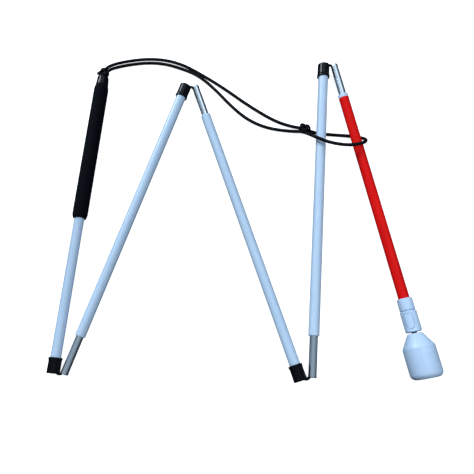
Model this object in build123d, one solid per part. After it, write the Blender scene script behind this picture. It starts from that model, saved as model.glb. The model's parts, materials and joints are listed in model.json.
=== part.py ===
from build123d import *
import math
import os

# White cane of five folding sections, lying in an open zigzag on the surface z = 0.
# Every section is modelled along its own axis, from its upper end (local z = 0) downwards,
# and then placed between two fold points of the zigzag.

# ---------------------------------------------------------------- tubes and sleeves
tube_outer = 8.5
tube_bore = 6.9
sleeve_outer = 9.15
sleeve_bore = 8.54
ferrule_outer = 6.7
ferrule_bore = 5.0
ferrule_root = 6.86
ferrule_shown = 33.8
ferrule_root_length = 20.0
ferrule_tip_round = 0.35
sleeve_length = 243.8
handle_sleeve_length = 125.3
tip_sleeve_length = 196.3
white_band_length = 3.6
tube_short_of_mouth = 1.5
end_gap = 0.02

# ---------------------------------------------------------------- joint collars
collar_length = 13.4
collar_outer = 11.3
collar_lip_outer = 11.8
collar_lip_length = 1.8
collar_tube_bore = 8.56
collar_mouth_bore = 6.86
collar_mouth_chamfer = 1.1
collar_lip_edge = 0.5
collar_lip_step = 0.4
collar_end_edge = 0.4

# ---------------------------------------------------------------- handle
grip_outer = 14.0
grip_bore = 9.2
grip_length = 139.0
grip_taper_length = 3.2
grip_taper_outer = 11.6
grip_top_round = 1.4
grip_soft_edge = 0.45
cap_outer_low = 12.2
cap_outer_top = 10.4
cap_shown = 10.2
cap_plug_length = 14.0
cap_wall_top = 2.6
cap_cord_hole = 5.8
washer_outer = 6.6
washer_thick = 1.2
washer_hole = 3.4
washer_below_plug = 0.3
stopper_bead = 5.7

# ---------------------------------------------------------------- elastic cord
cord_diameter = 2.5
cord_room = 0.05
cord_off_in_mouth = 2.13
cord_off_in_ferrule = 1.2
loose_cord_depth = 37.0

# ---------------------------------------------------------------- fold geometry
pivot_spacing = 9.3
mouth_above_pivot = 0.3
tip_above_pivot = 1.8
turn_centre_above_pivot = 1.8
fold_1_place = (-157.82, -182.48)
headings = (-93.4, 71.74, -70.49, 86.59, -77.92)
fold_heights = (7.0, 5.9, 5.95, 7.95)
tip_line_rise = 0.01545

# ---------------------------------------------------------------- roller tip
adapter_outer = 12.3
adapter_length = 9.8
adapter_bore = 9.2
adapter_insert_outer = 6.84
adapter_insert_length = 16.0
adapter_insert_bore = 3.6
adapter_nose_outer = 8.6
adapter_nose_length = 11.0
adapter_edge = 0.4
anchor_bead = 5.6
anchor_length = 4.0
anchor_above_insert = 0.2
anchor_edge = 0.8
glue_gap = 0.02
seam_gap = 0.5
holder_outer = 13.0
holder_length = 17.0
holder_bore = 8.8
holder_bore_depth = 12.2
holder_top_edge = 0.5
holder_end_edge = 0.8
tongue_width = 6.0
tongue_length = 12.0
tongue_thick = 1.0
tongue_proud = 0.25
tongue_gap = 0.22
tongue_below_end = 2.5
tongue_turn = 26.0
tongue_room = 0.1
tongue_travel = 0.6
spring_outer = 2.6
spring_wire = 0.45
roller_gap = 1.2
roller_outer = 25.4
roller_length = 36.6
roller_neck_outer = 11.4
roller_cone_length = 11.0
roller_end_round = 4.2
roller_shoulder_round = 2.4
roller_bore = 5.4
spindle_outer = 3.0
spindle_length = 30.6
spindle_head_outer = 6.0
spindle_head_length = 1.6
spindle_groove_depth = 0.35
clip_outer = 4.9
clip_width = 0.5
bush_outer = 4.2
bush_room = 0.03
bearing_outer = 10.0
bearing_inner = 3.04
bearing_width = 4.0
bearing_inner_race = 5.2
bearing_outer_race = 7.8
bearing_from_neck = 18.0
ball_diameter = 1.588
ball_count = 8
ball_circle = 6.5
bearing_room = 0.03

# ---------------------------------------------------------------- wrist cord
handle_knot_size = 9.6
handle_knot_place = (-138.3, 146.4, 6.2)
loop_knot_size = 9.0
loop_knot_place = (58.1, 80.9, 4.55)

section_total = ferrule_shown + sleeve_length + collar_length
handle_total = cap_shown + grip_length + handle_sleeve_length + collar_length
cord_radius = cord_diameter / 2
half_spacing = pivot_spacing / 2


# ================================================================ layout of the zigzag
def heading_vector(degrees):
    turn = math.radians(degrees)
    return Vector(math.cos(turn), math.sin(turn), 0)


def fold_angle(number):
    """Angle between section `number` and the next one at rest, in the plan."""
    before = heading_vector(headings[number - 1])
    after = heading_vector(headings[number])
    return (before * -1).get_angle(after)


def fold_reach(number):
    """Distance from a fold point to the pivot's foot on either section's axis."""
    return half_spacing / math.tan(math.radians(fold_angle(number) / 2))


def lay_out_fold_points():
    """Points where the axes of neighbouring sections meet, from fold 1 to fold 4."""
    points = [Vector(fold_1_place[0], fold_1_place[1], fold_heights[0])]
    for number in (2, 3, 4):
        span = fold_reach(number - 1) + tip_above_pivot + section_total
        span += mouth_above_pivot + fold_reach(number)
        flat = points[-1] + heading_vector(headings[number - 1]) * span
        points.append(Vector(flat.X, flat.Y, fold_heights[number - 1]))
    return points


fold_points = lay_out_fold_points()


def section_direction(number):
    """Unit vector down section `number`, from the handle side to the tip side."""
    flat = heading_vector(headings[number - 1])
    if number == 1:
        return flat
    if number == 5:
        return Vector(flat.X, flat.Y, tip_line_rise).normalized()
    return (fold_points[number - 1] - fold_points[number - 2]).normalized()


def section_start(number):
    """Upper end of a section: the cap's top for section 1, else the ferrule's tip."""
    if number == 1:
        run = fold_reach(1) + mouth_above_pivot + handle_total
        return fold_points[0] - section_direction(1) * run
    run = fold_reach(number - 1) + tip_above_pivot
    return fold_points[number - 2] + section_direction(number) * run


def section_place(number):
    """Local frame of a section: z down its axis, x as near straight up as it can be."""
    down = section_direction(number)
    up = (Vector(0, 0, 1) - down * down.Z).normalized()
    return Plane(origin=section_start(number), x_dir=up, z_dir=down).location


def place(solid, number):
    return section_place(number) * solid


def fold_frame(number):
    """Pivot point, bisector and side vector of a fold, in its own plane."""
    into_upper = section_direction(number) * -1
    into_lower = section_direction(number + 1)
    bisector = (into_upper + into_lower).normalized()
    side = (into_lower - into_upper).normalized()
    half = into_upper.get_angle(into_lower) / 2
    pivot = fold_points[number - 1] + bisector * (half_spacing / math.sin(math.radians(half)))
    return pivot, bisector, side, math.radians(half)


# ================================================================ small shape helpers
def ring(outer, bore, length, start=0.0):
    """Straight tube along +Z from `start`."""
    profile = Circle(outer / 2) - Circle(bore / 2)
    return extrude(Plane.XY.offset(start) * profile, amount=length)


def rod(diameter, length, start=0.0):
    return extrude(Plane.XY.offset(start) * Circle(diameter / 2), amount=length)


def turned(points):
    """Solid of revolution about Z from a closed outline of (radius, z) points."""
    outline = make_face(Polyline(*points, close=True))
    return revolve(Plane.XZ * outline, axis=Axis.Z)


def straight_cord(start, end):
    """A run of cord between two points."""
    run = end - start
    return extrude(Plane(origin=start, z_dir=run) * Circle(cord_radius), amount=run.length)


# ================================================================ section pieces
def tube(start, end):
    return ring(tube_outer, tube_bore, end - start, start)


def sleeve(start, end):
    return ring(sleeve_outer, sleeve_bore, end - start, start)


def ferrule():
    """Male joint tube: bright straight barrel, rounded tip, knurled root held in the tube."""
    barrel = ring(ferrule_outer, ferrule_bore, ferrule_shown + ferrule_root_length)
    barrel = fillet(barrel.edges().group_by(Axis.Z)[0], ferrule_tip_round)
    root = ring(ferrule_root, ferrule_bore, ferrule_root_length - 2, ferrule_shown + 2)
    return barrel + root


def collar(mouth):
    """Female joint collar whose mouth is at z = `mouth`: lip at its upper edge, chamfered mouth."""
    top = mouth - collar_length
    tube_end = mouth - tube_short_of_mouth
    lip = collar_lip_outer / 2
    body = collar_outer / 2
    tube_seat = collar_tube_bore / 2
    throat = collar_mouth_bore / 2
    return turned(
        [
            (tube_seat, top),
            (lip - collar_lip_edge, top),
            (lip, top + collar_lip_edge),
            (lip, top + collar_lip_length - collar_lip_step),
            (body, top + collar_lip_length),
            (body, mouth - collar_end_edge),
            (body - collar_end_edge, mouth),
            (throat + collar_mouth_chamfer, mouth),
            (throat, mouth - collar_mouth_chamfer),
            (throat, tube_end + end_gap),
            (tube_seat, tube_end + end_gap),
        ]
    )


def inner_cord(number, start_off, start_z, end_off, end_z):
    """Elastic cord through a section, slanting from one side of the bore to the other."""
    frame = section_place(number)
    across = Vector(0, 1, 0)
    start = across * start_off + Vector(0, 0, start_z)
    end = across * end_off + Vector(0, 0, end_z)
    return frame * straight_cord(start, end)


def side_sign(number, fold):
    """Side of the local y axis on which a fold's pivot lies, seen from section `number`."""
    frame = Plane(section_place(number))
    pivot = fold_frame(fold)[0]
    return 1 if frame.to_local_coords(pivot).Y > 0 else -1


def turn_height(number):
    """How far above the pivot, along the next section's axis, the turn of cord ends."""
    half = fold_frame(number)[3]
    centre_x = (cord_off_in_mouth - cord_off_in_ferrule) / (2 * math.cos(half))
    return turn_centre_above_pivot * math.cos(half) + centre_x * math.sin(half)


def section_cord(number):
    """Inner cord of sections 2 to 5, from the turn in its ferrule to the turn in its mouth."""
    top_z = turn_height(number - 1) - tip_above_pivot + cord_room
    top_off = cord_off_in_ferrule * side_sign(number, number - 1)
    if number == 5:
        return inner_cord(5, top_off, top_z, 0, anchor_top() - cord_room)
    low_off = cord_off_in_mouth * side_sign(number, number)
    return inner_cord(number, top_off, top_z, low_off, section_total - loose_cord_depth - cord_room)


def fold_cord(number):
    """Loose end of the elastic in one tube, its turn out of the mouth, and its way into a ferrule."""
    pivot, bisector, side, half = fold_frame(number)
    out_upper = side * -math.cos(half) - bisector * math.sin(half)
    out_lower = side * math.cos(half) - bisector * math.sin(half)
    centre_x = (cord_off_in_mouth - cord_off_in_ferrule) / (2 * math.cos(half))
    centre = pivot + side * centre_x + bisector * turn_centre_above_pivot
    reach = half_spacing - (cord_off_in_mouth + cord_off_in_ferrule) / 2
    reach += turn_centre_above_pivot * math.sin(half)
    turn_start = centre + out_upper * reach
    turn_end = centre + out_lower * reach
    up_the_tube = section_direction(number) * -1
    level = (turn_start - pivot).dot(up_the_tube)
    deep_end = turn_start + up_the_tube * (loose_cord_depth - mouth_above_pivot - level)
    path = Line(deep_end, turn_start) + ThreePointArc(turn_start, centre - bisector * reach, turn_end)
    profile = Plane(origin=deep_end, z_dir=up_the_tube * -1) * Circle(cord_radius)
    return sweep(profile, path=path)


# ================================================================ handle (section 1)
def grip():
    """Foam grip with a rounded top shoulder and a tapered lower end."""
    top = cap_shown
    low = top + grip_length
    outer = grip_outer / 2
    bore = grip_bore / 2
    return turned(
        [
            (bore, top),
            (outer - grip_top_round, top),
            (outer - grip_soft_edge, top + grip_soft_edge),
            (outer, top + grip_top_round),
            (outer, low - grip_taper_length),
            (outer - 0.35, low - grip_taper_length / 2),
            (grip_taper_outer / 2, low),
            (bore, low),
        ]
    )


def grip_cap():
    """Domed cap over the grip's top end, plugged into the handle tube, bored for the cord."""
    low = cap_outer_low / 2
    top = cap_outer_top / 2
    plug = tube_bore / 2 - 0.02
    hole = cap_cord_hole / 2
    cavity = plug - 1.1
    return turned(
        [
            (hole, 0),
            (top - 1.3, 0),
            (top - 0.4, 0.4),
            (top, 1.3),
            (low, cap_shown - 0.8),
            (low, cap_shown - 0.02),
            (plug, cap_shown - 0.02),
            (plug, cap_shown + cap_plug_length),
            (cavity, cap_shown + cap_plug_length),
            (hole, cap_wall_top + cap_shown),
        ]
    )


def washer_start():
    return cap_shown + cap_plug_length + washer_below_plug


def cord_washer():
    """Washer that stops the elastic inside the handle tube, just below the cap's plug."""
    return ring(washer_outer, washer_hole, washer_thick, washer_start())


def stopper_knot():
    """Knot in the elastic below the washer, as a plain closed bead."""
    centre = washer_start() + washer_thick + cord_room + stopper_bead / 2
    return Pos(0, 0, centre) * Sphere(stopper_bead / 2)


def handle_cord():
    """Elastic inside the handle tube, from its stopper knot to the turn in the collar's mouth."""
    start_z = washer_start() + washer_thick + stopper_bead + 2 * cord_room
    low_off = cord_off_in_mouth * side_sign(1, 1)
    return inner_cord(1, 0, start_z, low_off, handle_total - loose_cord_depth - cord_room)


# ================================================================ tip (section 5)
def tip_sleeve_end():
    return ferrule_shown + tip_sleeve_length


def adapter_start():
    return tip_sleeve_end() + glue_gap


def adapter_end():
    return adapter_start() + adapter_length


def holder_start():
    return adapter_end() + seam_gap


def holder_end():
    return holder_start() + holder_length


def roller_start():
    return holder_end() + roller_gap


def anchor_top():
    return tip_sleeve_end() - adapter_insert_length - anchor_length - anchor_above_insert


def tip_adapter():
    """Ring glued in the end of tube 5, with a nose that the tip holder snaps on."""
    bore = adapter_insert_bore
    insert = ring(adapter_insert_outer, bore, adapter_insert_length, adapter_start() - adapter_insert_length)
    head = ring(adapter_outer, bore, adapter_length, adapter_start())
    circles = head.edges().filter_by(GeomType.CIRCLE)
    rims = circles.filter_by(lambda edge: edge.radius > adapter_outer / 2 - 0.01)
    head = fillet(rims, adapter_edge)
    nose = ring(adapter_nose_outer, adapter_insert_bore, adapter_nose_length, adapter_end())
    return insert + head + nose


def cord_anchor():
    """Crimped end bead of the elastic, held by a washer face on the adapter's insert."""
    bead = rod(anchor_bead, anchor_length, anchor_top())
    return fillet(bead.edges(), anchor_edge)


def tongue_centre():
    """Height of the release tongue's middle, which lies near the holder's lower end."""
    return holder_end() - tongue_below_end - tongue_length / 2


def turned_tongue(solid):
    """The tongue and its seat look a little to one side of straight up."""
    return Rot(0, 0, tongue_turn) * solid


def tongue_prism(grow, inner_radius, outer_radius):
    """U-shaped prism that stands on the holder's wall along local +X, cut by two cylinders."""
    width = tongue_width + 2 * grow
    length = tongue_length + 2 * grow
    straight = length - width / 2
    outline = Pos(0, (straight - length) / 2) * Rectangle(width, straight)
    outline += Pos(0, length / 2 - width / 2) * Circle(width / 2)
    face_plane = Plane(origin=(0, 0, tongue_centre()), x_dir=(0, 1, 0), z_dir=(1, 0, 0))
    block = extrude(face_plane * outline, amount=2 * outer_radius)
    shell = ring(2 * outer_radius, 2 * inner_radius, 2 * length, tongue_centre() - length)
    return turned_tongue(block & shell)


def tip_holder():
    """Snap-on barrel of the roller tip: bored for the adapter's nose, solid floor for the spindle."""
    radius = holder_outer / 2
    barrel = rod(holder_outer, holder_length, holder_start())
    barrel = fillet(barrel.edges().group_by(Axis.Z)[0], holder_top_edge)
    barrel = fillet(barrel.edges().group_by(Axis.Z)[-1], holder_end_edge)
    floor = holder_start() + holder_bore_depth
    barrel -= rod(holder_bore, holder_bore_depth, holder_start())
    barrel -= rod(spindle_outer + 2 * end_gap, holder_length, holder_start())
    barrel -= rod(spindle_head_outer + tongue_room, spindle_head_length + cord_room, floor - end_gap / 2)
    return barrel - tongue_prism(tongue_gap, tongue_seat_radius(), radius + 1)


def tongue_under_radius():
    return holder_outer / 2 + tongue_proud - tongue_thick


def tongue_seat_radius():
    return tongue_under_radius() - tongue_travel - tongue_room


def release_tongue():
    """Press tongue that frees the tip from its adapter."""
    return tongue_prism(0, tongue_under_radius(), tongue_under_radius() + tongue_thick)


def tongue_spring():
    """Small coil spring under the tongue, drawn as its closed outline."""
    foot = tongue_seat_radius() + end_gap
    length = math.sqrt(tongue_under_radius() ** 2 - spring_outer**2 / 4) - bearing_room - foot
    frame = Plane(origin=(foot, 0, tongue_centre()), z_dir=(1, 0, 0)).location
    return turned_tongue(frame * ring(spring_outer, spring_outer - 2 * spring_wire, length))


def spindle():
    """Steel pin on which the roller turns, headed inside the holder."""
    start = holder_start() + holder_bore_depth
    pin = rod(spindle_outer, spindle_length, start)
    head = rod(spindle_head_outer, spindle_head_length, start)
    groove = ring(clip_outer, spindle_outer - 2 * spindle_groove_depth, clip_width, spindle_clip_z())
    return pin + head - groove


def spindle_clip_z():
    return roller_start() + bearing_from_neck + bearing_width + cord_room


def spindle_clip():
    """Retaining ring under the bearing's inner ring."""
    bore = spindle_outer - 2 * spindle_groove_depth + 2 * end_gap
    clip = ring(clip_outer, bore, clip_width - 2 * bush_room, spindle_clip_z() + bush_room)
    return clip - Pos(0, 1.8, spindle_clip_z()) * Box(1.1, 3.0, 2)


def spacer_bush():
    """Bush on the spindle between the holder's end and the bearing's inner ring."""
    start = holder_end() + bush_room
    return ring(bush_outer, bearing_inner, roller_start() + bearing_from_neck - start - bush_room, start)


def bearing_ring(outer, bore):
    """Bearing ring with a ball groove, centred on the ball circle."""
    start = roller_start() + bearing_from_neck
    shape = ring(outer, bore, bearing_width, start)
    groove = Pos(0, 0, start + bearing_width / 2) * Torus(ball_circle / 2, ball_diameter / 2 + bearing_room)
    return shape - groove


def bearing_inner_ring():
    return bearing_ring(bearing_inner_race, bearing_inner)


def bearing_outer_ring():
    return bearing_ring(bearing_outer, bearing_outer_race)


def bearing_balls():
    middle = roller_start() + bearing_from_neck + bearing_width / 2
    ball = Pos(ball_circle / 2, 0, middle) * Sphere(ball_diameter / 2)
    return Compound([Rot(0, 0, 360 / ball_count * step) * ball for step in range(ball_count)])


def roller_shell():
    """Marshmallow-shaped nylon roller: cone, straight barrel, rounded closed end."""
    start = roller_start()
    end = start + roller_length
    outer = roller_outer / 2
    neck = roller_neck_outer / 2
    outline = turned(
        [
            (0, start),
            (neck, start),
            (neck + 0.9, start + 0.7),
            (outer, start + roller_cone_length + 1.2),
            (outer, end),
            (0, end),
        ]
    )
    rims = outline.edges().filter_by(GeomType.CIRCLE).sort_by(Axis.Z)
    outline = fillet(rims[-1], roller_end_round)
    rims = outline.edges().filter_by(GeomType.CIRCLE).filter_by(lambda edge: abs(edge.radius - outer) < 0.01)
    outline = fillet(rims.sort_by(Axis.Z)[0], roller_shoulder_round)
    outline -= rod(roller_bore, bearing_from_neck + 1, start - 0.5)
    outline -= rod(bearing_outer + 0.02, bearing_width + 0.04, start + bearing_from_neck - 0.02)
    outline -= rod(7.6, 6.2, start + bearing_from_neck + bearing_width)
    return outline


# ================================================================ wrist cord on the handle
# Route of the doubled cord, from the cap along one strand to the loop knot, under sections 4
# and 5, back over them, and along the other strand to the cap.
wrist_route = [
    (-140.3, 136.9, 7.0),
    (-139.8, 145.9, 6.8),
    (-136.5, 153.8, 4.8),
    (-128.9, 159.1, 2.4),
    (-116.9, 162.4, 1.3),
    (-97.9, 164.4, 1.3),
    (-78.1, 162.7, 1.3),
    (-59.9, 156.4, 1.3),
    (-44.9, 147.4, 1.3),
    (-20.3, 130.4, 1.3),
    (7.3, 108.0, 1.3),
    (31.6, 91.4, 1.3),
    (47.6, 85.4, 1.3),
    (58.5, 82.4, 3.2),
    (69.5, 77.0, 1.3),
    (84.1, 74.6, 1.3),
    (98.1, 73.4, 1.3),
    (106.1, 71.8, 1.6),
    (110.7, 68.8, 5.4),
    (112.1, 64.8, 12.6),
    (109.1, 61.4, 18.4),
    (98.1, 58.6, 18.6),
    (86.6, 60.0, 17.2),
    (77.1, 62.6, 16.4),
    (67.5, 67.4, 15.8),
    (63.1, 73.4, 8.8),
    (57.7, 79.4, 3.2),
    (46.5, 80.4, 1.3),
    (24.7, 84.0, 1.3),
    (5.7, 93.4, 1.3),
    (-11.1, 109.4, 1.3),
    (-26.3, 127.4, 1.3),
    (-43.5, 143.7, 1.3),
    (-61.3, 152.2, 1.3),
    (-78.9, 158.3, 1.3),
    (-97.4, 159.9, 1.3),
    (-115.7, 158.0, 1.3),
    (-126.5, 155.2, 2.3),
    (-133.3, 151.0, 4.8),
    (-136.9, 145.0, 6.8),
    (-137.5, 136.8, 7.0),
]


def wrist_cord():
    """Round tube along the route: straight runs joined by arcs as large as the runs allow."""
    points = [Vector(*point) for point in wrist_route]
    runs = [after - before for before, after in zip(points, points[1:])]
    radii = []
    for before, after in zip(runs, runs[1:]):
        half_turn = math.radians(before.get_angle(after) / 2)
        radii.append(0.45 * min(before.length, after.length) / math.tan(half_turn))
    print("wrist cord radii", [round(radius, 1) for radius in radii])
    path = FilletPolyline(*points, radius=radii)
    tube_solid = sweep(Plane(origin=path @ 0, z_dir=path % 0) * Circle(cord_radius), path=path)
    straight_volume = math.pi * cord_radius**2 * path.length
    print("wrist cord length", round(path.length, 1), "volume ratio", tube_solid.volume / straight_volume)
    return tube_solid


def knot(size, centre):
    """Plain outer shape of an overhand knot."""
    return Pos(*centre) * Sphere(size / 2)


def write(solid, name):
    if isinstance(solid, (list, tuple)) or len(solid.solids()) > 1:
        solid = Compound(solid.solids())
    else:
        solid = solid.solid()
    export_step(solid, f"parts/{name}.step")
    volume = sum(piece.volume for piece in solid.solids())
    print(f"{name:24s} {volume:10.1f} mm3 {len(solid.solids())} solids")


def write_handle():
    tube_low = handle_total - tube_short_of_mouth
    grip_low = cap_shown + grip_length
    write(place(tube(cap_shown, tube_low), 1), "handle_tube")
    sleeve_low = handle_total - collar_length - end_gap
    write(place(sleeve(grip_low + end_gap, sleeve_low), 1), "handle_sleeve")
    write(place(grip(), 1), "grip")
    write(place(grip_cap(), 1), "grip_cap")
    write(place(collar(handle_total), 1), "handle_collar")
    write(place(cord_washer(), 1), "cord_washer")
    write(place(stopper_knot(), 1), "stopper_knot")
    write(handle_cord(), "handle_cord")


def write_middle(number):
    tube_low = section_total - tube_short_of_mouth
    sleeve_low = section_total - collar_length - end_gap
    write(place(tube(ferrule_shown, tube_low), number), f"tube_{number}")
    write(place(sleeve(ferrule_shown, sleeve_low), number), f"sleeve_{number}")
    write(place(ferrule(), number), f"ferrule_{number}")
    write(place(collar(section_total), number), f"collar_{number}")
    write(section_cord(number), f"cord_{number}")


def write_tip():
    band_end = ferrule_shown + white_band_length
    write(place(tube(ferrule_shown, tip_sleeve_end()), 5), "tube_5")
    write(place(sleeve(ferrule_shown, band_end), 5), "white_band")
    write(place(sleeve(band_end + end_gap, tip_sleeve_end()), 5), "red_sleeve")
    write(place(ferrule(), 5), "ferrule_5")
    write(section_cord(5), "cord_5")
    write(place(cord_anchor(), 5), "cord_anchor")
    write(place(tip_adapter(), 5), "tip_adapter")
    write(place(tip_holder(), 5), "tip_holder")
    write(place(release_tongue(), 5), "release_tongue")
    write(place(tongue_spring(), 5), "tongue_spring")
    write(place(spindle(), 5), "spindle")
    write(place(spindle_clip(), 5), "spindle_clip")
    write(place(spacer_bush(), 5), "spacer_bush")
    write(place(bearing_inner_ring(), 5), "bearing_inner_ring")
    write(place(bearing_outer_ring(), 5), "bearing_outer_ring")
    write(place(bearing_balls(), 5), "bearing_balls")
    write(place(roller_shell(), 5), "roller_shell")


os.makedirs("parts", exist_ok=True)
write_handle()
write(wrist_cord(), "wrist_cord")
write(knot(handle_knot_size, handle_knot_place), "handle_knot")
write(knot(loop_knot_size, loop_knot_place), "loop_knot")
for number in (2, 3, 4):
    write_middle(number)
write_tip()
for number in (1, 2, 3, 4):
    write(fold_cord(number), f"fold_cord_{number}")

for number in (1, 2, 3, 4):
    pivot, bisector, side, half = fold_frame(number)
    axis = section_direction(number).cross(section_direction(number + 1)).normalized()
    print("fold", number, "pivot", pivot, "axis", axis, "angle", round(math.degrees(2 * half), 3))
for number in range(1, 6):
    print("section", number, "start", section_start(number), "down", section_direction(number))
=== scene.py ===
import json
import math

import bmesh
import bpy
from mathutils import Matrix, Vector


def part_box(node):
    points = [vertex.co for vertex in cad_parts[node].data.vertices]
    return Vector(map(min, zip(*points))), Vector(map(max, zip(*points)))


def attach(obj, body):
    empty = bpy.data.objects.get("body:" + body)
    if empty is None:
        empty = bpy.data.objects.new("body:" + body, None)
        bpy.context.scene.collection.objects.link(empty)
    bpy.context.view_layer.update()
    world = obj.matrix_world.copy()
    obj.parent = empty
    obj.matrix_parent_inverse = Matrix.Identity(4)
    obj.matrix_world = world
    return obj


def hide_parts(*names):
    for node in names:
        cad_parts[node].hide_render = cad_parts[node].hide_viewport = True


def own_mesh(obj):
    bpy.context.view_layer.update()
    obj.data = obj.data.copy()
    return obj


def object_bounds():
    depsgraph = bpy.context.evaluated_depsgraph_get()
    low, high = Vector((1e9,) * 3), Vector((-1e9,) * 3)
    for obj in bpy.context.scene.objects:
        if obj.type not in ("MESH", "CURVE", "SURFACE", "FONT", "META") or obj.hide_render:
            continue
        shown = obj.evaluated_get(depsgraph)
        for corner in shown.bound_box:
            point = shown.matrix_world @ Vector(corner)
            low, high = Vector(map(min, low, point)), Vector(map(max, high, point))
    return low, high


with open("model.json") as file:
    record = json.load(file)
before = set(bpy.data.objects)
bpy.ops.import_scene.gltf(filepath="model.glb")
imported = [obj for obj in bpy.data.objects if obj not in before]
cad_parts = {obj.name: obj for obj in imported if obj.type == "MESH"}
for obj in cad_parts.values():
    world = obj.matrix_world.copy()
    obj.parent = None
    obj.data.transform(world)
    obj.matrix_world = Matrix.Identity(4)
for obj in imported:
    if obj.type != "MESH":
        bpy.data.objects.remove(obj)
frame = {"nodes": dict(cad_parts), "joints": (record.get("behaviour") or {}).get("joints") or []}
cadLow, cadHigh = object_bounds()
joints = {joint["name"]: joint for joint in frame["joints"]}
scene = bpy.context.scene
mm = 0.001
print("frame loaded")


# Camera and light

cameraSetup = {
    "place": (0.01816, -0.15158, 0.43999),
    "heading": 19.2555,
    "elevation": 72.8246,
    "roll": -18.155,
    "lens": 38.728,
    "shiftX": 0.0570,
    "shiftY": 0.0,
}


def makeCamera():
    turn = math.radians(cameraSetup["heading"])
    tip = math.radians(cameraSetup["elevation"])
    roll = math.radians(cameraSetup["roll"])
    right = Vector((math.cos(turn), math.sin(turn), 0))
    level = math.cos(tip)
    forward = Vector((-math.sin(turn) * level, math.cos(turn) * level, -math.sin(tip)))
    up = right.cross(forward)
    sideways = right * math.cos(roll) + up * math.sin(roll)
    upright = up * math.cos(roll) - right * math.sin(roll)
    data = bpy.data.cameras.new("camera")
    data.lens = cameraSetup["lens"]
    data.sensor_width = 36
    data.shift_x = cameraSetup["shiftX"]
    data.shift_y = cameraSetup["shiftY"]
    data.clip_start = 0.01
    camera = bpy.data.objects.new("camera", data)
    pose = Matrix((sideways, upright, -forward)).transposed().to_4x4()
    pose.translation = Vector(cameraSetup["place"])
    camera.matrix_world = pose
    scene.collection.objects.link(camera)
    scene.camera = camera


studio = {
    "domeColour": (0.74, 0.88, 1.0),
    "domeStrength": 0.50,
    "domeReach": 0.95,
    "horizonLight": 0.12,
    "backdropColour": (0.94, 0.96, 1.0),
    "lightColour": (0.80, 0.91, 1.0),
    "keyPower": 27.0,
    "keySize": 0.7,
    "keyPlace": (-1.20, 1.35, 0.95),
    "backPower": 2.2,
    "backSize": 0.75,
    "backPlace": (0.12, 0.85, 1.0),
    "fillPower": 2.6,
    "fillSize": 0.5,
    "fillPlace": (0.35, 0.0, 0.80),
    "floorSize": 12.0,
}


def makeLight(kind, target):
    data = bpy.data.lights.new(kind + "Light", "AREA")
    data.shape = "SQUARE"
    data.size = studio[kind + "Size"]
    data.energy = studio[kind + "Power"]
    data.color = studio["lightColour"]
    light = bpy.data.objects.new(kind + "Light", data)
    place = Vector(studio[kind + "Place"])
    light.location = place
    light.rotation_euler = (target - place).to_track_quat("-Z", "Y").to_euler()
    scene.collection.objects.link(light)
    return light


def makeSky():
    # a dome that is bright overhead, dim at the horizon and nearly dark below it
    world = bpy.data.worlds.new("studio")
    world.use_nodes = True
    tree = world.node_tree
    background = tree.nodes["Background"]
    background.inputs["Strength"].default_value = studio["domeStrength"]
    spot = tree.nodes.new("ShaderNodeTexCoord")
    parts = tree.nodes.new("ShaderNodeSeparateXYZ")
    ramp = tree.nodes.new("ShaderNodeValToRGB")
    tree.links.new(spot.outputs["Generated"], parts.inputs["Vector"])
    tree.links.new(parts.outputs["Z"], ramp.inputs["Fac"])
    tree.links.new(ramp.outputs["Color"], background.inputs["Color"])
    ramp.color_ramp.elements[0].position = 0.0
    ramp.color_ramp.elements[1].position = studio["domeReach"]
    for element, light in zip(ramp.color_ramp.elements, (studio["horizonLight"], 1.0)):
        element.color = (*(part * light for part in studio["domeColour"]), 1)
    # seen directly, the dome is a plain pale backdrop
    backdrop = tree.nodes.new("ShaderNodeBackground")
    backdrop.inputs["Color"].default_value = (*studio["backdropColour"], 1)
    seen = tree.nodes.new("ShaderNodeLightPath")
    choice = tree.nodes.new("ShaderNodeMixShader")
    tree.links.new(seen.outputs["Is Camera Ray"], choice.inputs["Fac"])
    tree.links.new(background.outputs["Background"], choice.inputs[1])
    tree.links.new(backdrop.outputs["Background"], choice.inputs[2])
    tree.links.new(choice.outputs["Shader"], tree.nodes["World Output"].inputs["Surface"])
    scene.world = world


def makeStudio():
    scene.view_settings.view_transform = "Standard"
    makeSky()
    target = (cadLow + cadHigh) / 2
    makeLight("key", target)
    makeLight("back", target)
    fill = makeLight("fill", target)
    fill.visible_glossy = False  # it fills the shade without a highlight of its own


makeCamera()
makeStudio()
print("camera and light ready")


# Material helpers: every piece carries its own straight coordinates, in mm, as "place"

def newMaterial(name, colour, roughness, metallic=0.0, coat=0.0, coatRoughness=0.1):
    material = bpy.data.materials.new(name)
    material.use_nodes = True
    shader = material.node_tree.nodes["Principled BSDF"]
    shader.inputs["Base Color"].default_value = (*colour, 1)
    shader.inputs["Roughness"].default_value = roughness
    shader.inputs["Metallic"].default_value = metallic
    shader.inputs["Coat Weight"].default_value = coat
    shader.inputs["Coat Roughness"].default_value = coatRoughness
    return material


def addNode(material, kind, **settings):
    node = material.node_tree.nodes.new(kind)
    for key, value in settings.items():
        if key in node.inputs:
            node.inputs[key].default_value = value
        else:
            setattr(node, key, value)
    return node


def join(material, source, target):
    material.node_tree.links.new(source, target)


def placeSource(material, stretch, fromAttribute=True):
    # stretched coordinates: the piece's own mm along its axis, or the object's metres
    if fromAttribute:
        source = addNode(material, "ShaderNodeAttribute", attribute_name="place").outputs["Vector"]
    else:
        source = addNode(material, "ShaderNodeTexCoord").outputs["Object"]
    mapping = addNode(material, "ShaderNodeMapping")
    mapping.inputs["Scale"].default_value = stretch
    join(material, source, mapping.inputs["Vector"])
    return mapping.outputs["Vector"]


def noiseAt(material, vector, scale, detail=3.0, roughness=0.5):
    noise = addNode(material, "ShaderNodeTexNoise", Scale=scale, Detail=detail, Roughness=roughness)
    join(material, vector, noise.inputs["Vector"])
    return noise.outputs["Fac"]


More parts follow.
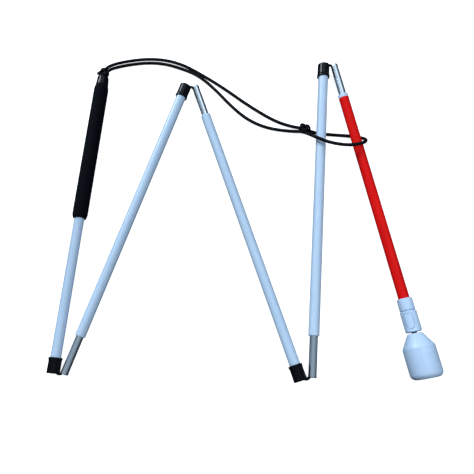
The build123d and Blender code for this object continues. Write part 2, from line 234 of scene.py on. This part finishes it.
def tintBetween(material, factor, first, second, low=0.35, high=0.65):
    ramp = addNode(material, "ShaderNodeValToRGB")
    ramp.color_ramp.elements[0].position = low
    ramp.color_ramp.elements[1].position = high
    ramp.color_ramp.elements[0].color = (*first, 1)
    ramp.color_ramp.elements[1].color = (*second, 1)
    join(material, factor, ramp.inputs["Fac"])
    return ramp.outputs["Color"]


def rangeOf(material, factor, low, high):
    mapRange = addNode(material, "ShaderNodeMapRange")
    mapRange.inputs["To Min"].default_value = low
    mapRange.inputs["To Max"].default_value = high
    join(material, factor, mapRange.inputs["Value"])
    return mapRange.outputs["Result"]


def bumpFrom(material, height, distance, strength=1.0, under=None):
    bump = addNode(material, "ShaderNodeBump", Strength=strength, Distance=distance)
    join(material, height, bump.inputs["Height"])
    if under is not None:
        join(material, under, bump.inputs["Normal"])
    return bump.outputs["Normal"]


def shaderOf(material):
    return material.node_tree.nodes["Principled BSDF"]


# Sleeve tape: a smooth film with a very fine grain and a faint unevenness along the tube

tape = {
    "whiteLight": (0.58, 0.72, 0.90),
    "whiteDark": (0.53, 0.68, 0.87),
    "redLight": (0.86, 0.008, 0.007),
    "redDark": (0.72, 0.005, 0.005),
    "roughness": (0.26, 0.38),
    "coatRoughness": 0.18,
    "grain": 0.012,
    "grainScale": 3.2,
    "grainStrength": 0.35,
}


def makeTape(name, light, dark, specular, coat):
    material = newMaterial(name, light, 0.3, coat=coat, coatRoughness=tape["coatRoughness"])
    shader = shaderOf(material)
    shader.inputs["Specular IOR Level"].default_value = specular
    smooth = placeSource(material, (0.25, 0.25, 0.02))
    fine = placeSource(material, (1.0, 1.0, 1.0))
    cloud = noiseAt(material, smooth, 1.0, 4.0)
    join(material, tintBetween(material, cloud, dark, light), shader.inputs["Base Color"])
    join(material, rangeOf(material, cloud, *tape["roughness"]), shader.inputs["Roughness"])
    cells = addNode(material, "ShaderNodeTexVoronoi", Scale=tape["grainScale"])
    join(material, fine, cells.inputs["Vector"])
    grain = bumpFrom(material, cells.outputs["Distance"], tape["grain"] * mm, tape["grainStrength"])
    join(material, grain, shader.inputs["Normal"])
    return material


# Bright drawn aluminium of the ferrules, with lines along the tube

ferruleMetal = {
    "light": (0.68, 0.75, 0.83),
    "dark": (0.58, 0.66, 0.75),
    "roughness": (0.20, 0.27),
    "unevenness": 0.002,
}


def makeFerruleMetal():
    material = newMaterial("polishedAluminium", ferruleMetal["light"], 0.2, metallic=1.0)
    shader = shaderOf(material)
    lines = noiseAt(material, placeSource(material, (3.0, 3.0, 0.02)), 1.0, 3.0, 0.5)
    smudge = noiseAt(material, placeSource(material, (0.4, 0.4, 0.12)), 1.0, 3.0)
    tint = tintBetween(material, lines, ferruleMetal["dark"], ferruleMetal["light"], 0.3, 0.6)
    join(material, tint, shader.inputs["Base Color"])
    roughness = rangeOf(material, smudge, *ferruleMetal["roughness"])
    join(material, roughness, shader.inputs["Roughness"])
    uneven = bumpFrom(material, smudge, ferruleMetal["unevenness"] * mm, 0.2)
    join(material, uneven, shader.inputs["Normal"])
    return material


# Moulded plastics

moulded = {
    "black": (0.0012, 0.0018, 0.0035),
    "blackWorn": (0.002, 0.0028, 0.005),
    "tip": (0.57, 0.73, 0.96),
    "tipPale": (0.60, 0.76, 0.98),
    "roller": (0.57, 0.73, 0.96),
    "rollerPale": (0.60, 0.76, 0.98),
    "blackRoughness": (0.18, 0.25),
    "tipRoughness": (0.30, 0.40),
    "rollerRoughness": (0.26, 0.36),
    "blackPeel": 0.003,
    "tipPeel": 0.02,
    "blackSpecular": 0.17,
    "tipSpecular": 0.5,
}


def makeMoulded(name, base, other, roughness, peel, specular):
    material = newMaterial(name, base, sum(roughness) / 2)
    shader = shaderOf(material)
    shader.inputs["Specular IOR Level"].default_value = specular
    cloud = noiseAt(material, placeSource(material, (0.35, 0.35, 0.35)), 1.0, 4.0)
    fine = noiseAt(material, placeSource(material, (1.0, 1.0, 1.0)), 2.2, 2.0)
    join(material, tintBetween(material, cloud, base, other), shader.inputs["Base Color"])
    join(material, rangeOf(material, cloud, *roughness), shader.inputs["Roughness"])
    join(material, bumpFrom(material, fine, peel * mm, 0.6), shader.inputs["Normal"])
    return material


# Grip rubber: matte, with a close grain

gripRubber = {
    "dark": (0.0016, 0.002, 0.0034),
    "light": (0.0042, 0.0054, 0.0088),
    "roughness": (0.68, 0.92),
    "grain": 0.10,
    "specular": 0.05,
}


def makeGripRubber():
    material = newMaterial("gripRubber", gripRubber["dark"], 0.8)
    shader = shaderOf(material)
    shader.inputs["Specular IOR Level"].default_value = gripRubber["specular"]
    place = placeSource(material, (1.0, 1.0, 1.0))
    grain = noiseAt(material, place, 1.9, 4.0, 0.65)
    cells = addNode(material, "ShaderNodeTexVoronoi", Scale=1.5)
    join(material, place, cells.inputs["Vector"])
    tint = tintBetween(material, grain, gripRubber["dark"], gripRubber["light"])
    join(material, tint, shader.inputs["Base Color"])
    join(material, rangeOf(material, grain, *gripRubber["roughness"]), shader.inputs["Roughness"])
    under = bumpFrom(material, cells.outputs["Distance"], gripRubber["grain"] * 0.5 * mm, 0.8)
    pebbled = bumpFrom(material, grain, gripRubber["grain"] * mm, 0.8, under)
    join(material, pebbled, shader.inputs["Normal"])
    return material


# Braided cord: two sets of yarns that wind opposite ways round the cord

braid = {
    "yarns": 8,
    "lay": 0.95,
    "depth": 0.05,
    "dark": (0.0014, 0.0018, 0.0028),
    "light": (0.0045, 0.0055, 0.008),
    "specular": 0.16,
    "roughness": (0.60, 0.42),
}


def makeBraid():
    material = newMaterial("braidedCord", braid["dark"], 0.6)
    shader = shaderOf(material)
    shader.inputs["Specular IOR Level"].default_value = braid["specular"]
    parts = addNode(material, "ShaderNodeSeparateXYZ")
    join(material, placeSource(material, (1.0, 1.0, 1.0)), parts.inputs["Vector"])
    angle = addNode(material, "ShaderNodeMath", operation="ARCTAN2")
    join(material, parts.outputs["Y"], angle.inputs[0])
    join(material, parts.outputs["X"], angle.inputs[1])
    waves = []
    for way in (1, -1):
        along = addNode(material, "ShaderNodeMath", operation="MULTIPLY")
        along.inputs[1].default_value = way * braid["yarns"] * braid["lay"]
        join(material, parts.outputs["Z"], along.inputs[0])
        phase = addNode(material, "ShaderNodeMath", operation="MULTIPLY_ADD")
        phase.inputs[1].default_value = braid["yarns"]
        join(material, angle.outputs["Value"], phase.inputs[0])
        join(material, along.outputs["Value"], phase.inputs[2])
        wave = addNode(material, "ShaderNodeMath", operation="SINE")
        join(material, phase.outputs["Value"], wave.inputs[0])
        waves.append(wave.outputs["Value"])
    weave = addNode(material, "ShaderNodeMath", operation="MULTIPLY")
    join(material, waves[0], weave.inputs[0])
    join(material, waves[1], weave.inputs[1])
    raised = rangeOf(material, weave.outputs["Value"], 0.0, 1.0)
    tint = tintBetween(material, raised, braid["dark"], braid["light"], 0.1, 0.9)
    join(material, tint, shader.inputs["Base Color"])
    roughness = rangeOf(material, weave.outputs["Value"], *braid["roughness"])
    join(material, roughness, shader.inputs["Roughness"])
    join(material, bumpFrom(material, raised, braid["depth"] * mm, 0.9), shader.inputs["Normal"])
    return material


# Materials of the inner pieces, which are seen in the open ends

inner = {
    "steel": (0.56, 0.57, 0.59),
    "tube": (0.66, 0.68, 0.71),
    "bush": (0.0022, 0.0028, 0.0042),
    "elastic": (0.003, 0.0036, 0.0052),
}


def makeInner(name, colour, roughness, metallic=1.0):
    material = newMaterial(name, colour, roughness, metallic=metallic)
    shader = shaderOf(material)
    cloud = noiseAt(material, placeSource(material, (900, 900, 900), False), 1.0, 3.0)
    dark = tuple(0.8 * part for part in colour)
    join(material, tintBetween(material, cloud, dark, colour), shader.inputs["Base Color"])
    spread = rangeOf(material, cloud, roughness * 0.8, roughness * 1.3)
    join(material, spread, shader.inputs["Roughness"])
    join(material, bumpFrom(material, cloud, 0.01 * mm, 0.4), shader.inputs["Normal"])
    return material


finishes = {
    "whiteTape": makeTape("whiteTape", tape["whiteLight"], tape["whiteDark"], 0.4, 0.2),
    "redTape": makeTape("redTape", tape["redLight"], tape["redDark"], 0.10, 0.0),
    "ferrule": makeFerruleMetal(),
    "collar": makeMoulded(
        "blackGloss",
        moulded["black"],
        moulded["blackWorn"],
        moulded["blackRoughness"],
        moulded["blackPeel"],
        moulded["blackSpecular"],
    ),
    "tip": makeMoulded(
        "tipPlastic",
        moulded["tip"],
        moulded["tipPale"],
        moulded["tipRoughness"],
        moulded["tipPeel"],
        moulded["tipSpecular"],
    ),
    "roller": makeMoulded(
        "rollerNylon",
        moulded["roller"],
        moulded["rollerPale"],
        moulded["rollerRoughness"],
        moulded["tipPeel"],
        moulded["tipSpecular"],
    ),
    "grip": makeGripRubber(),
    "cord": makeBraid(),
    "tube": makeInner("tubeAluminium", inner["tube"], 0.3),
    "steel": makeInner("steel", inner["steel"], 0.25),
    "bush": makeInner("bushPlastic", inner["bush"], 0.35, 0.0),
    "elastic": makeInner("innerElastic", inner["elastic"], 0.7, 0.0),
}
print("materials ready")


# Where the sections lie, read from the frame

sectionTubes = {1: "handle_tube", 2: "tube_2", 3: "tube_3", 4: "tube_4", 5: "tube_5"}


def sectionDown(number):
    if number == 5:
        return Vector(joints["tip_pull"]["axis"]).normalized()
    return -Vector(joints[f"seat_{number}"]["axis"]).normalized()


def sectionFrame(number):
    # metres in the row frame from mm in the section's own frame: z down the section, x upwards
    low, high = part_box(sectionTubes[number])
    down = sectionDown(number)
    up = (Vector((0, 0, 1)) - down * down.z).normalized()
    pose = Matrix((up, down.cross(up), down)).transposed().to_4x4()
    pose.translation = (low + high) / 2
    return pose @ Matrix.Scale(mm, 4)


sectionFrames = {number: sectionFrame(number) for number in sectionTubes}


def extent(node, number):
    # a node's start, end and largest radius along its section, in mm
    toSection = sectionFrames[number].inverted()
    spots = [toSection @ vertex.co for vertex in frame["nodes"][node].data.vertices]
    heights = [spot.z for spot in spots]
    return min(heights), max(heights), max(math.hypot(spot.x, spot.y) for spot in spots)


# Mesh helpers

def turnProfile(shape, outline, steps=64):
    # spins an outline of (radius, z, rounding) about the z axis; rounded corners are bevelled first
    corners = [shape.verts.new((radius, 0, z)) for radius, z, _ in outline]
    for before, after in zip(corners, corners[1:]):
        shape.edges.new((before, after))
    for corner, (_, _, rounding) in zip(corners, outline):
        if rounding > 0:
            bmesh.ops.bevel(
                shape,
                geom=[corner],
                offset=rounding,
                affect="VERTICES",
                segments=4,
                profile=0.5,
                material=-1,
            )
    wire = list(shape.verts) + list(shape.edges)
    bmesh.ops.spin(
        shape,
        geom=wire,
        cent=(0, 0, 0),
        axis=(0, 0, 1),
        angle=2 * math.pi,
        steps=steps,
        use_merge=True,
    )
    bmesh.ops.remove_doubles(shape, verts=shape.verts, dist=1e-4)
    bmesh.ops.recalc_face_normals(shape, faces=shape.faces)


creaseAngle = 35


def finishPiece(shape, name, body, finish, replaced=(), pose=None):
    # keeps the straight coordinates as an attribute, then puts the mesh in the row frame
    layers = shape.verts.layers.float_vector
    layer = layers.get("place") or layers.new("place")
    if pose is not None:
        for vertex in shape.verts:
            vertex[layer] = vertex.co
        bmesh.ops.transform(shape, matrix=pose, verts=shape.verts)
    for face in shape.faces:
        face.smooth = True
    mesh = bpy.data.meshes.new(name)
    shape.to_mesh(mesh)
    shape.free()
    mesh.set_sharp_from_angle(angle=math.radians(creaseAngle))
    mesh.materials.append(finishes[finish])
    piece = bpy.data.objects.new(name, mesh)
    scene.collection.objects.link(piece)
    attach(piece, body)
    if replaced:
        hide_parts(*replaced)
    return piece


def copyNode(node, name, body, bevelWidth):
    # a merged copy of one of the tip's nodes, with softened edges
    pose = sectionFrames[5]
    shape = bmesh.new()
    shape.from_mesh(frame["nodes"][node].data)
    bmesh.ops.remove_doubles(shape, verts=shape.verts, dist=1e-6)
    bmesh.ops.transform(shape, matrix=pose.inverted(), verts=shape.verts)
    flat = math.radians(1.0)
    bmesh.ops.dissolve_limit(shape, angle_limit=flat, verts=shape.verts, edges=shape.edges)
    piece = finishPiece(shape, name, body, "tip", (node,), pose)
    if bevelWidth:
        bevel = piece.modifiers.new("softEdges", "BEVEL")
        bevel.width = bevelWidth * mm
        bevel.segments = 2
        bevel.limit_method = "ANGLE"
        bevel.angle_limit = math.radians(40)


def edgesWithin(edges, vertices):
    return [edge for edge in edges if edge.verts[0] in vertices and edge.verts[1] in vertices]


def fillHoles(shape, sides):
    rim = [edge for edge in shape.edges if edge.is_boundary]
    bmesh.ops.holes_fill(shape, edges=rim, sides=sides)


def tubeAlong(points, radius, sides=12, closed=False):
    # a round tube through points: one ring of edges, extruded and turned from point to point
    shape = bmesh.new()
    layer = shape.verts.layers.float_vector.new("place")
    count = len(points)
    tangents = []
    for index in range(count):
        if closed:
            tangents.append((points[(index + 1) % count] - points[index - 1]).normalized())
        else:
            after = points[min(index + 1, count - 1)]
            tangents.append((after - points[max(index - 1, 0)]).normalized())
    pose = tangents[0].to_track_quat("Z", "Y").to_matrix().to_4x4()
    pose.translation = points[0]
    circle = bmesh.ops.create_circle(
        shape, cap_ends=False, radius=radius, segments=sides, matrix=pose
    )
    ring = circle["verts"]
    firstRing = set(ring)
    around = radius / mm
    for index, vertex in enumerate(ring):
        angle = 2 * math.pi * index / sides
        vertex[layer] = (around * math.cos(angle), around * math.sin(angle), 0)
    ringEdges = list(shape.edges)
    run = 0.0
    for index in range(1, count):
        turn = tangents[index - 1].rotation_difference(tangents[index]).to_matrix().to_4x4()
        step = Matrix.Translation(points[index]) @ turn @ Matrix.Translation(-points[index - 1])
        run += (points[index] - points[index - 1]).length
        made = bmesh.ops.extrude_edge_only(shape, edges=ringEdges)["geom"]
        ring = [item for item in made if isinstance(item, bmesh.types.BMVert)]
        edges = [item for item in made if isinstance(item, bmesh.types.BMEdge)]
        ringEdges = edgesWithin(edges, set(ring))
        bmesh.ops.transform(shape, matrix=step, verts=ring)
        for vertex in ring:
            source = vertex[layer]
            vertex[layer] = (source.x, source.y, run / mm)
    if closed:
        bmesh.ops.bridge_loops(shape, edges=ringEdges + edgesWithin(shape.edges, firstRing))
    else:
        fillHoles(shape, sides)
    bmesh.ops.recalc_face_normals(shape, faces=shape.faces)
    return shape


def curveLine(points, smoothness):
    # the line that a smooth NURBS cord follows through its route
    data = bpy.data.curves.new("route", "CURVE")
    data.dimensions = "3D"
    spline = data.splines.new("NURBS")
    spline.points.add(len(points) - 1)
    for spot, point in zip(spline.points, points):
        spot.co = (*point, 1)
    spline.order_u = 3
    spline.use_endpoint_u = True
    spline.resolution_u = smoothness
    carrier = bpy.data.objects.new("route", data)
    mesh = bpy.data.meshes.new_from_object(carrier)
    line = [vertex.co.copy() for vertex in mesh.vertices]
    bpy.data.objects.remove(carrier)
    bpy.data.curves.remove(data)
    bpy.data.meshes.remove(mesh)
    return line


# Wrist cord: a doubled cord from the cap to the loop knot, round sections 4 and 5, and back

wristCord = {
    "diameter": 2.5 * mm,
    "shownDiameter": 3.1 * mm,
    "smoothness": 12,
    "route": [
        (-0.1403, 0.1369, 0.0070),
        (-0.1398, 0.1459, 0.0068),
        (-0.1365, 0.1538, 0.0048),
        (-0.1289, 0.1591, 0.0024),
        (-0.1169, 0.1624, 0.00156),
        (-0.0979, 0.1644, 0.00156),
        (-0.0781, 0.1627, 0.00156),
        (-0.0599, 0.1564, 0.00156),
        (-0.0449, 0.1474, 0.00156),
        (-0.0203, 0.1304, 0.00156),
        (0.0073, 0.1080, 0.00156),
        (0.0316, 0.0914, 0.00156),
        (0.0476, 0.0854, 0.00156),
        (0.0585, 0.0824, 0.0032),
        (0.0695, 0.0782, 0.0012),
        (0.0841, 0.0764, 0.0012),
        (0.0981, 0.0751, 0.00156),
        (0.1066, 0.0735, 0.0018),
        (0.1120, 0.0703, 0.0056),
        (0.1134, 0.0649, 0.0128),
        (0.1100, 0.0592, 0.0188),
        (0.0981, 0.0568, 0.0190),
        (0.0866, 0.0590, 0.0176),
        (0.0771, 0.0622, 0.0166),
        (0.0675, 0.0674, 0.0158),
        (0.0631, 0.0734, 0.0088),
        (0.0577, 0.0794, 0.0032),
        (0.0465, 0.0804, 0.00156),
        (0.0247, 0.0840, 0.00156),
        (0.0057, 0.0934, 0.00156),
        (-0.0111, 0.1094, 0.00156),
        (-0.0263, 0.1274, 0.00156),
        (-0.0435, 0.1437, 0.00156),
        (-0.0613, 0.1522, 0.00156),
        (-0.0789, 0.1583, 0.00156),
        (-0.0974, 0.1599, 0.00156),
        (-0.1157, 0.1580, 0.00156),
        (-0.1265, 0.1552, 0.0023),
        (-0.1333, 0.1510, 0.0048),
        (-0.1369, 0.1450, 0.0068),
        (-0.1375, 0.1368, 0.0070),
    ],
}

knots = {"strand": 1.1 * mm, "steps": 120, "puff": 1.6 * mm, "inner": 0.5, "rise": 0.42}


def knotLine(centre, size, tilt, share):
    # a trefoil drawn flat and stretched, one of the two strands of a doubled overhand knot
    points = []
    for step in range(knots["steps"]):
        angle = 2 * math.pi * step / knots["steps"]
        ringRadius = 2 + math.cos(3 * angle)
        spot = Vector(
            (
                ringRadius * math.cos(2 * angle) / 3 * size.x * share,
                ringRadius * math.sin(2 * angle) / 3 * size.y * share,
                math.sin(3 * angle + 2 * (1 - share)) * size.z,
            )
        )
        points.append(centre + tilt @ spot)
    return points


def makeKnot(node, name, tilt, aside):
    low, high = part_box(node)
    centre = (low + high) / 2 + Vector(aside) * mm
    reach = (high - low) / 2
    turn = Matrix.Rotation(math.radians(tilt), 3, "Z")
    side = reach.x + knots["puff"] - knots["strand"]
    size = Vector((side, side * 0.9, (reach.z - knots["strand"]) * knots["rise"] * 2))
    shape = tubeAlong(knotLine(centre, size, turn, 1.0), knots["strand"], 12, True)
    second = bpy.data.meshes.new("strand")
    other = tubeAlong(knotLine(centre, size, turn, knots["inner"]), knots["strand"], 12, True)
    other.to_mesh(second)
    other.free()
    shape.from_mesh(second)
    bpy.data.meshes.remove(second)
    return finishPiece(shape, name, "section_1", "cord", (node,))


def makeWristCord():
    line = curveLine([Vector(point) for point in wristCord["route"]], wristCord["smoothness"])
    shape = tubeAlong(line, wristCord["shownDiameter"] / 2, 14)
    cord = finishPiece(shape, "wristCord", "section_1", "cord", ("wrist_cord",))
    handleKnot = makeKnot("handle_knot", "handleKnot", 40, (-1.2, -1.2, 0))
    loopKnot = makeKnot("loop_knot", "loopKnot", -20, (0.9, 0.6, 0))


makeWristCord()


# Elastic at the folds: bunched in towards the tube that it comes out of

foldCord = {"keep": 0.3, "lift": 2.1, "liftRun": 5.0}


def makeFoldCord(number):
    shape = bmesh.new()
    shape.from_mesh(frame["nodes"][f"fold_cord_{number}"].data)
    bmesh.ops.remove_doubles(shape, verts=shape.verts, dist=1e-6)
    collar = "handle_collar" if number == 1 else f"collar_{number}"
    _, mouth, _ = extent(collar, number)
    bmesh.ops.transform(shape, matrix=sectionFrames[number].inverted(), verts=shape.verts)
    for vertex in shape.verts:
        share = min(1.0, max(0.0, (vertex.co.z - mouth) / foldCord["liftRun"] + 1))
        ease = share * share * (3 - 2 * share)
        vertex.co.z -= foldCord["lift"] * ease  # pulled in close to the mouth
    piece = finishPiece(
        shape,
        f"foldElastic{number}",
        f"link_{number}",
        "cord",
        (f"fold_cord_{number}",),
        sectionFrames[number],
    )
    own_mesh(piece)


for foldNumber in (1, 2, 3, 4):
    makeFoldCord(foldNumber)
print("fold elastic ready")


# Sleeves: white or red film, turned in a little at both ends

sleeveShape = {"wall": 0.30, "edge": 0.16, "rim": 0.05, "rimLength": 1.6, "rimSlope": 0.3}


def makeSleeve(node, number, finish):
    start, end, radius = extent(node, number)
    rim = sleeveShape["rimLength"]
    inner = radius - sleeveShape["wall"]
    edge = sleeveShape["edge"]
    low = radius - sleeveShape["rim"]
    shape = bmesh.new()
    outline = [(inner, start, 0), (radius, start, edge)]
    if end - start > 6 * rim:
        slope = sleeveShape["rimSlope"]
        outline += [(radius, start + rim, 0), (low, start + rim + slope, 0)]
        outline += [(low, end - rim - slope, 0), (radius, end - rim, 0)]
    outline += [(radius, end, edge), (inner, end, 0), (inner, start, 0)]
    turnProfile(shape, outline)
    body = f"section_{number}"
    finishPiece(shape, node + "Film", body, finish, (node,), sectionFrames[number])


makeSleeve("handle_sleeve", 1, "whiteTape")
for sectionNumber in (2, 3, 4):
    makeSleeve(f"sleeve_{sectionNumber}", sectionNumber, "whiteTape")
makeSleeve("white_band", 5, "whiteTape")
makeSleeve("red_sleeve", 5, "redTape")
print("sleeves ready")


# Ferrules: bright tubes, a little wider at the open tip

ferruleShape = {
    "radius": 3.35,
    "bore": 2.5,
    "boreEdge": 0.25,
    "tipLip": 0.09,
    "lipLength": 2.4,
    "lipSlope": 0.8,
    "tipRounding": 0.6,
    "insideTube": 3,
}


def makeFerrule(number):
    start, _, _ = extent(f"ferrule_{number}", number)
    tubeStart, _, _ = extent(sectionTubes[number], number)
    root = tubeStart + ferruleShape["insideTube"]
    radius = ferruleShape["radius"]
    bore = ferruleShape["bore"]
    lip = radius + ferruleShape["tipLip"]
    lipEnd = start + ferruleShape["lipLength"]
    shape = bmesh.new()
    turnProfile(
        shape,
        [
            (bore, root, 0),
            (bore, start, ferruleShape["boreEdge"]),
            (lip, start, ferruleShape["tipRounding"]),
            (lip, lipEnd, 0),
            (radius, lipEnd + ferruleShape["lipSlope"], 0),
            (radius, root, 0),
            (bore, root, 0),
        ],
    )
    finishPiece(
        shape,
        f"ferrule{number}",
        f"section_{number}",
        "ferrule",
        (f"ferrule_{number}",),
        sectionFrames[number],
    )


for sectionNumber in (2, 3, 4, 5):
    makeFerrule(sectionNumber)
print("ferrules ready")


# Collars: black, with a flared lip round the tube and a chamfered mouth

collarShape = {
    "lip": 5.9,
    "body": 5.6,
    "waist": 5.5,
    "lipLength": 1.8,
    "lipSlope": 0.7,
    "mouthLength": 1.2,
    "mouthLead": 1.0,
    "leadDepth": 1.1,
    "bore": 3.43,
    "boreDepth": 1.5,
    "seat": 4.28,
    "seatDepth": 1.52,
}


def makeCollar(node, number):
    start, end, _ = extent(node, number)
    shape = bmesh.new()
    body = collarShape["body"]
    bore = collarShape["bore"]
    seat = collarShape["seat"]
    lipEnd = start + collarShape["lipLength"]
    turnProfile(
        shape,
        [
            (seat, end - collarShape["seatDepth"], 0),
            (seat, start, 0.1),
            (collarShape["lip"], start, 0.45),
            (collarShape["lip"], lipEnd, 0.3),
            (collarShape["waist"], lipEnd + collarShape["lipSlope"], 0.4),
            (body, end - collarShape["mouthLength"], 0.3),
            (body, end, 0.45),
            (bore + collarShape["mouthLead"], end, 0.12),
            (bore, end - collarShape["leadDepth"], 0.1),
            (bore, end - collarShape["boreDepth"], 0),
            (seat, end - collarShape["seatDepth"], 0),
        ],
    )
    finishPiece(
        shape,
        node + "Moulding",
        f"section_{number}",
        "collar",
        (node,),
        sectionFrames[number],
    )


makeCollar("handle_collar", 1)
for sectionNumber in (2, 3, 4):
    makeCollar(f"collar_{sectionNumber}", sectionNumber)
print("collars ready")


# Grip and cap

gripShape = {
    "radius": 7.0,
    "bore": 4.6,
    "topRadius": 6.1,
    "topTaper": 3.4,
    "endRadius": 5.9,
    "endTaper": 3.2,
    "ringSpacing": 45,
}
capShape = {
    "low": 6.08,
    "lowLength": 1.2,
    "top": 5.35,
    "hole": 2.9,
    "holeDepth": 6,
    "socket": 3.6,
    "gripGap": 0.02,
}


def makeGrip():
    start, end, _ = extent("grip", 1)
    shape = bmesh.new()
    radius = gripShape["radius"]
    turnProfile(
        shape,
        [
            (gripShape["bore"], start, 0),
            (gripShape["topRadius"], start, 0.5),
            (radius, start + gripShape["topTaper"], 1.4),
            (radius, start + gripShape["ringSpacing"], 0),
            (radius, end - gripShape["ringSpacing"], 0),
            (radius, end - gripShape["endTaper"], 1.2),
            (gripShape["endRadius"], end, 0.5),
            (gripShape["bore"], end, 0),
            (gripShape["bore"], start, 0),
        ],
    )
    pose = sectionFrames[1]
    finishPiece(shape, "gripMoulding", "section_1", "grip", ("grip",), pose)


def makeCap():
    start, _, _ = extent("grip_cap", 1)
    gripStart, _, _ = extent("grip", 1)
    holeEnd = start + capShape["holeDepth"]
    capEnd = gripStart - capShape["gripGap"]
    shape = bmesh.new()
    turnProfile(
        shape,
        [
            (capShape["hole"], holeEnd, 0),
            (capShape["hole"], start, 0.35),
            (capShape["top"], start, 1.2),
            (capShape["low"], gripStart - capShape["lowLength"], 0.8),
            (capShape["low"], capEnd, 0.1),
            (capShape["socket"], capEnd, 0),
            (capShape["socket"], holeEnd, 0),
            (capShape["hole"], holeEnd, 0),
        ],
    )
    pose = sectionFrames[1]
    finishPiece(shape, "capMoulding", "section_1", "collar", ("grip_cap",), pose)


makeGrip()
makeCap()
print("handle ready")


# Roller tip

rollerShape = {
    "neck": 5.7,
    "radius": 12.7,
    "coneLength": 11.0,
    "endRounding": 4.4,
    "endTrim": 1.2,  # how far the end stops short of the frame's node
    "boreDepth": 8,
    "boreEdge": 0.3,
    "steps": 96,
    "shoulderRounding": 1.1,
    "bore": 2.7,
    "neckRounding": 0.6,
}


def makeRoller():
    start, end, _ = extent("roller_shell", 5)
    end -= rollerShape["endTrim"]
    shape = bmesh.new()
    radius = rollerShape["radius"]
    turnProfile(
        shape,
        [
            (rollerShape["bore"], start + rollerShape["boreDepth"], 0),
            (rollerShape["bore"], start, rollerShape["boreEdge"]),
            (rollerShape["neck"], start, rollerShape["neckRounding"]),
            (radius, start + rollerShape["coneLength"], rollerShape["shoulderRounding"]),
            (radius, end, rollerShape["endRounding"]),
            (0, end, 0),
        ],
        rollerShape["steps"],
    )
    fillHoles(shape, rollerShape["steps"])
    bmesh.ops.recalc_face_normals(shape, faces=shape.faces)
    finishPiece(
        shape,
        "rollerBody",
        "roller",
        "roller",
        ("roller_shell",),
        sectionFrames[5],
    )


tipEdges = {"adapter": 0, "holder": 0.12, "tongue": 0.4}

makeRoller()
copyNode("tip_adapter", "adapterRing", "section_5", tipEdges["adapter"])
copyNode("tip_holder", "holderBarrel", "tip", tipEdges["holder"])
copyNode("release_tongue", "tongueTab", "tongue", tipEdges["tongue"])
print("tip ready")


# Frame nodes that stay, with their finishes

keptNodes = {
    "tube": ["handle_tube", "tube_2", "tube_3", "tube_4", "tube_5"],
    "steel": [
        "cord_washer",
        "cord_anchor",
        "tongue_spring",
        "spindle",
        "spindle_clip",
        "bearing_inner_ring",
        "bearing_outer_ring",
        "bearing_balls",
    ],
    "bush": ["spacer_bush"],
    "elastic": ["stopper_knot", "handle_cord", "cord_2", "cord_3", "cord_4", "cord_5"],
}
for finish, nodes in keptNodes.items():
    for node in nodes:
        for slotEntry in frame["nodes"][node].material_slots:
            slotEntry.material = finishes[finish]
print("kept nodes finished")


# Floor

floorLook = {"colour": (0.95, 0.95, 0.95), "roughness": 0.9, "glow": 0.8}


def makeFloor():
    material = newMaterial("paleFloor", floorLook["colour"], floorLook["roughness"])
    cloud = noiseAt(material, placeSource(material, (3, 3, 3), False), 1.0, 2.0)
    light = floorLook["colour"]
    dark = tuple(0.985 * part for part in light)
    shader = shaderOf(material)
    join(material, tintBetween(material, cloud, dark, light), shader.inputs["Base Color"])
    shader.inputs["Specular IOR Level"].default_value = 0.0
    shader.inputs["Emission Color"].default_value = (1, 1, 1, 1)
    shader.inputs["Emission Strength"].default_value = floorLook["glow"]
    shape = bmesh.new()
    bmesh.ops.create_grid(shape, x_segments=1, y_segments=1, size=studio["floorSize"] / 2)
    mesh = bpy.data.meshes.new("floor")
    shape.to_mesh(mesh)
    shape.free()
    mesh.materials.append(material)
    floor = bpy.data.objects.new("floor", mesh)
    floor.location = (0, 0, cadLow.z)
    floor.visible_diffuse = False  # the ground lights nothing from below
    floor.visible_glossy = False
    scene.collection.objects.link(floor)


makeFloor()
print("floor ready")
